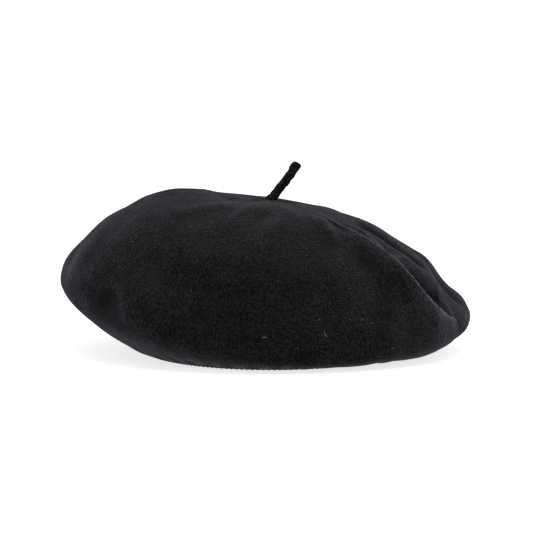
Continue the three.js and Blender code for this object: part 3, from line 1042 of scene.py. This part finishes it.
def cord_radius(run, total):
    """The knitted cord's radius at each ring and side: V-shaped stitches, a flared foot, a blunt tip."""
    angle = np.linspace(0, 1, CORD_SIDES, endpoint=False)[None, :]
    run = run[:, None]
    from_middle = np.abs(np.mod(CORD_WALES * angle + 0.03 * run, 1) - 0.5)
    rows = 0.7 + 0.3 * np.cos(TURN * (run / CORD_COURSE + 0.9 * from_middle))
    stitch = rows * np.abs(np.sin(TURN * from_middle)) ** 0.6
    swell = 0.1 * np.sin(run * 1.25 + 1) + 0.07 * np.sin(run * 2.9 + angle * TURN)
    thick = CORD_RADIUS + 0.3 * smoothstep(total - 7, total - 3, run)
    flare = 0.8 * np.exp(-(np.maximum(run - 1.9, 0) / 1.3) ** 2)
    past = np.clip((run - (total - 2.3)) / 2.3, 0, 1)
    blunt = np.sqrt(np.clip(1 - past**3.2, 0, 1))
    return (thick + flare + swell - 0.3 * (1 - stitch)) * np.maximum(blunt, 0.12)


def cord_knit(rings):
    """Wale and course at each corner of a cord's faces. The two end caps are left plain."""
    ring, side = np.meshgrid(np.arange(rings - 1), np.arange(CORD_SIDES), indexing="ij")
    wales = np.stack([side, side, side + 1, side + 1], axis=-1) * CORD_WALES / CORD_SIDES
    courses = np.stack([ring, ring + 1, ring + 1, ring], axis=-1) * CORD_RING_GAP / CORD_COURSE
    caps = np.zeros(2 * CORD_SIDES)
    return np.append(wales, caps), np.append(courses, caps)


def cord_skin(name, path, radius, node):
    """One stretch of the cord, which takes in one of the flex points between the two bodies it joins."""
    points, faces = tube(path, radius, CORD_SIDES, up=(0, 1, 0))
    skin = make_object(name, points, faces, CORD_WOOL)
    store_knit(skin, *cord_knit(len(path)))
    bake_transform(skin)
    finish_piece(skin, "knitted_cord", node)


def build_stem():
    route, run = stem_route()
    radius = cord_radius(run, run[-1])
    middle = (LOWER_FLEX + UPPER_FLEX) / 2
    cut = int(np.argmin(np.linalg.norm(route - middle, axis=1)))
    cord_skin(
        "stem_root_knit", route[: cut + 1], radius[: cut + 1], "stem_root"
    )
    cord_skin("stem_knit", route[cut:], radius[cut:], "stem")


def build_stem_tail():
    """The cord's tail through the crown's centre hole, tied in a knot underneath."""
    foot = node_box("stem_tail")[0][2]
    t = np.linspace(0, TURN, 150, endpoint=False)
    knot = np.stack([np.sin(t) + 2 * np.sin(2 * t), np.cos(t) - 2 * np.cos(2 * t), -1.35 * np.sin(3 * t)], -1)
    knot[:, 2] += foot + 3.05
    rise = np.linspace(foot + 3, CROWN_SEAT - 0.2, 16)
    neck = np.stack([0 * rise, 0 * rise, rise], axis=-1)
    share = np.linspace(0, 1, 12)[:, None]
    end = np.array([1.4, -0.8, foot + 2.4]) + share * np.array([1.1, -0.7, -1.0])
    stretches = [
        (knot, 1.5 + 0.12 * np.sin(60 * t)[:, None], 20, True, (0, 0, 1)),
        (neck, 1.72 + 0.06 * np.sin(rise * 5)[:, None], 20, False, (1, 0, 0)),
        (end, 1.3 * np.sqrt(1 - (0.95 * share) ** 4), 16, False, (0, 1, 0)),
    ]
    knot_piece = make_object("stem_tail_knot", *tubes(stretches), CORD_WOOL, "crown")
    finish_piece(knot_piece, "knitted_cord", "stem_tail")


# ---------------- labels

LABEL_WIDTH = 38.0
CARE_WIDTH = 18.0
CARE_LENGTH = 15.0
LABEL_THICKNESS = 0.5
LABEL_THREAD = 0.3
LABEL_TWIST = 1.6
CARE_STITCHES = 9


def slab(across, along, place, thickness):
    """A thin closed slab. Place maps (across, along, out) to points; out runs over the thickness."""
    u, v = (grid.ravel() for grid in np.meshgrid(across, along, indexing="ij"))
    columns, rows = len(across), len(along)
    half = thickness(u, v) / 2
    count = columns * rows
    faces = grid_faces(columns, rows, False, False)
    faces += [(a + count, d + count, c + count, b + count) for a, b, c, d in faces]
    border = [i * rows for i in range(columns)] + [(columns - 1) * rows + j for j in range(1, rows)]
    border += [i * rows + rows - 1 for i in range(columns - 2, -1, -1)] + list(range(rows - 2, 0, -1))
    faces += [(a, a + count, b + count, b) for a, b in zip(border, border[1:] + border[:1])]
    return np.vstack([place(u, v, half), place(u, v, -half)]), faces


def label_thickness(u, v, width, length):
    """Nearly even, thicker in the woven edges and thinned to a soft rounding at the very border."""
    inset = np.minimum(width / 2 - np.abs(u), length / 2 - np.abs(v))
    selvedge = 0.12 * np.exp(-(((inset - 0.9) / 0.5) ** 2))
    return (LABEL_THICKNESS - 0.12 + selvedge) * (0.45 + 0.55 * smoothstep(0, 0.35, inset))


def edge_spacing(width, steps):
    """Places over a width, about its middle, closer together near its two ends."""
    even = np.linspace(-1, 1, steps)
    return width / 2 * np.sin(even * math.pi / 2) * 0.35 + width / 2 * even * 0.65


def make_label(name, node, body, size, steps, place):
    """A blank satin label of a width and a length, which a function puts in place."""
    across, along = (edge_spacing(*pair) for pair in zip(size, steps))
    points, faces = slab(across, along, place, lambda u, v: label_thickness(u, v, *size))
    label = make_object(name, points, faces, SATIN, body)
    finish_piece(label, "satin_label", node)
    return label


def build_woven_label():
    low, high = node_box("woven_label")
    height = high[2] - low[2]
    centre_z = (high[2] + low[2]) / 2

    def place(u, v, out):
        azimuth = math.pi / 2 - u / OPENING_HALF_DEPTH
        pucker = 0.1 * np.sin(u * 0.55 + 0.4) * np.cos(v * 0.2)
        return round_opening(azimuth, -SEWN_GAP - LABEL_THICKNESS / 2 + pucker - out, centre_z + v)

    label = make_label("woven_satin_label", "woven_label", "crown", (LABEL_WIDTH, height), (76, 26), place)


def build_label_bars():
    """The thread bar at each end of the woven label."""
    low, high = node_box("woven_label")
    for side, word in ((-1, "left"), (1, "right")):
        middle = math.pi / 2 + side * (LABEL_WIDTH / 2 - 1.5) / OPENING_HALF_DEPTH
        swing = np.linspace(0, 12 * math.pi, 150)
        z = np.linspace(low[2] + 0.9, high[2] - 0.9, 150)
        azimuth = middle + 0.55 * np.sin(swing) / OPENING_HALF_DEPTH
        dip = smoothstep(0.8, 1.0, np.abs(np.sin(swing)))
        path = round_opening(azimuth, -1.25 + 0.35 * dip, z)
        node = f"label_stitch_{word}"
        plied_thread(f"{node}_thread", path, LABEL_THREAD, node, up=(0, 1, 0), twist=LABEL_TWIST)


CARE_HINGE = joint_pivot("care_label_flip")
CARE_ALONG = np.array(next(j["axis"] for j in frame["joints"] if j["name"] == "care_label_flip"))
CARE_OUT = np.cross((0, 0, 1), CARE_ALONG)
CARE_OUT *= np.sign(CARE_OUT @ CARE_HINGE)


def build_care_label():
    """The small label that hangs by its top edge inside the band, curled a little by wear."""

    def place(u, v, out):
        drop = CARE_LENGTH / 2 - v
        curl = -0.5 * (drop / CARE_LENGTH) ** 2 * (1 + 0.5 * u / CARE_WIDTH) + 0.12 * np.sin(u * 0.5)
        curl = curl * smoothstep(0, 5, drop)
        points = CARE_HINGE + u[:, None] * CARE_ALONG + (out + curl)[:, None] * CARE_OUT
        return points - drop[:, None] * np.array([0, 0, 1])

    size = CARE_WIDTH, CARE_LENGTH
    label = make_label("care_satin_label", "care_label", "care_label", size, (44, 36), place)


def build_care_stitch():
    """Whip stitches from just above the care label's top edge into the band."""
    swing = np.linspace(0, CARE_STITCHES * TURN, CARE_STITCHES * 16)
    u = np.linspace(-0.5, 0.5, len(swing)) * (CARE_WIDTH - 1.5)
    out = 0.65 - 0.6 * np.cos(swing)
    rise = 1.05 + 0.3 * np.sin(swing)
    path = CARE_HINGE + u[:, None] * CARE_ALONG + out[:, None] * CARE_OUT
    path[:, 2] += rise
    plied_thread("care_label_thread", path, LABEL_THREAD, "care_label_stitch", twist=LABEL_TWIST)


# ---------------- assembly

crown, crown_outside, crown_inside = build_crown()
build_lint(crown_outside)
build_headband()
build_elastic()
build_hem_seam()
build_band_topstitch()
build_closing_seam(crown_outside, crown_inside)
build_tacking(crown_inside)
build_stem()
build_stem_tail()
build_woven_label()
build_label_bars()
build_care_stitch()
build_care_label()


# ---------------- camera, light and floor

CAMERA_DISTANCE = 1900 * MM
CAMERA_TILT = math.radians(6)
CAMERA_FIELD = 330.5 * MM
LOOK_AT = Vector((-3.1, 0, 51.9)) * MM
SENSOR = 36.0
SKY_TOWARDS = (0.3, 0.85, 0.5)
SKY_GLOW = 0.4
SKY_FILL = 0.39
BOUNCE_TOWARDS = (0.1, -0.5, -0.85)
FLOOR_BOUNCE = 0.27
FLOOR_REACH = 20000
SOFTBOX_PLACE = Vector((0.1, 0.1, 1.4))
SOFTBOX_WIDTH = 1.0
SOFTBOX_POWER = 4.5


def place_facing(name, data, place, away):
    """Puts a camera or a light at a place. Away is the direction in which its back points."""
    item = bpy.data.objects.new(name, data)
    scene.collection.objects.link(item)
    item.location = place
    item.rotation_euler = away.to_track_quat("Z", "Y").to_euler()
    return item


def build_camera():
    data = bpy.data.cameras.new("camera")
    data.sensor_width = SENSOR
    data.lens = SENSOR * CAMERA_DISTANCE / CAMERA_FIELD
    data.clip_end = 20
    away = Vector((0, -math.cos(CAMERA_TILT), math.sin(CAMERA_TILT)))
    scene.camera = place_facing("camera", data, LOOK_AT + away * CAMERA_DISTANCE, away)


def build_softbox():
    """A square studio light above the hat, which faces it."""
    data = bpy.data.lights.new("top_softbox", "AREA")
    data.size = SOFTBOX_WIDTH
    data.energy = SOFTBOX_POWER
    place_facing("top_softbox", data, SOFTBOX_PLACE, SOFTBOX_PLACE - LOOK_AT)


def sky_ramp(tree, towards, low, high):
    """How brightly the sky glows round a direction, from 0 to 1."""
    direction = add_node(tree, "TexCoord", {}, "Generated")
    inputs = {0: direction, 1: Vector(towards).normalized()}
    nearness = add_node(tree, "VectorMath", inputs, "Value", operation="DOT_PRODUCT")
    return ramp_node(tree, nearness, low, high)


def build_studio():
    """White all round. What lights the hat is brightest above and behind it, and dimmest in front."""
    world = bpy.data.worlds.new("studio")
    world.use_nodes = True
    tree = world.node_tree
    background = tree.nodes["Background"]
    glow = sky_ramp(tree, SKY_TOWARDS, -0.2, 1.0)
    light = math_node(tree, "MULTIPLY_ADD", glow, SKY_GLOW, SKY_FILL)
    bounce = sky_ramp(tree, BOUNCE_TOWARDS, 0.0, 0.6)
    light = math_node(tree, "MULTIPLY_ADD", bounce, FLOOR_BOUNCE, light)
    seen = add_node(tree, "LightPath", {}, "Is Camera Ray")
    strength = math_node(tree, "MAXIMUM", seen, light)
    tree.links.new(strength, background.inputs["Strength"])
    background.inputs["Color"].default_value = (1, 1, 1, 1)
    scene.world = world


def build_floor():
    """Pale paper under the hat. It doesn't light the hat, as the sky's own bounce does that."""
    paper, tree, shader = shader_material(
        "pale_paper", (0.9, 0.9, 0.9), 0.9, Specular_IOR_Level=0.1, Emission_Color=(1, 1, 1, 1),
        Emission_Strength=0.75,
    )
    grain = noise_node(tree, place_vector(tree), 90, 3.0)
    colour = mix_colour(tree, grain, (0.89, 0.89, 0.89), (0.92, 0.92, 0.92))
    tree.links.new(colour, shader.inputs["Base Color"])
    corners = [(x * FLOOR_REACH, y * FLOOR_REACH, 0) for x, y in ((-1, -1), (1, -1), (1, 1), (-1, 1))]
    floor = make_object("studio_floor", corners, [(0, 1, 2, 3)], paper, smooth=False)
    floor.visible_diffuse = False
    floor.visible_glossy = False


build_camera()
build_studio()
build_softbox()
build_floor()
scene.view_settings.view_transform = "Standard"
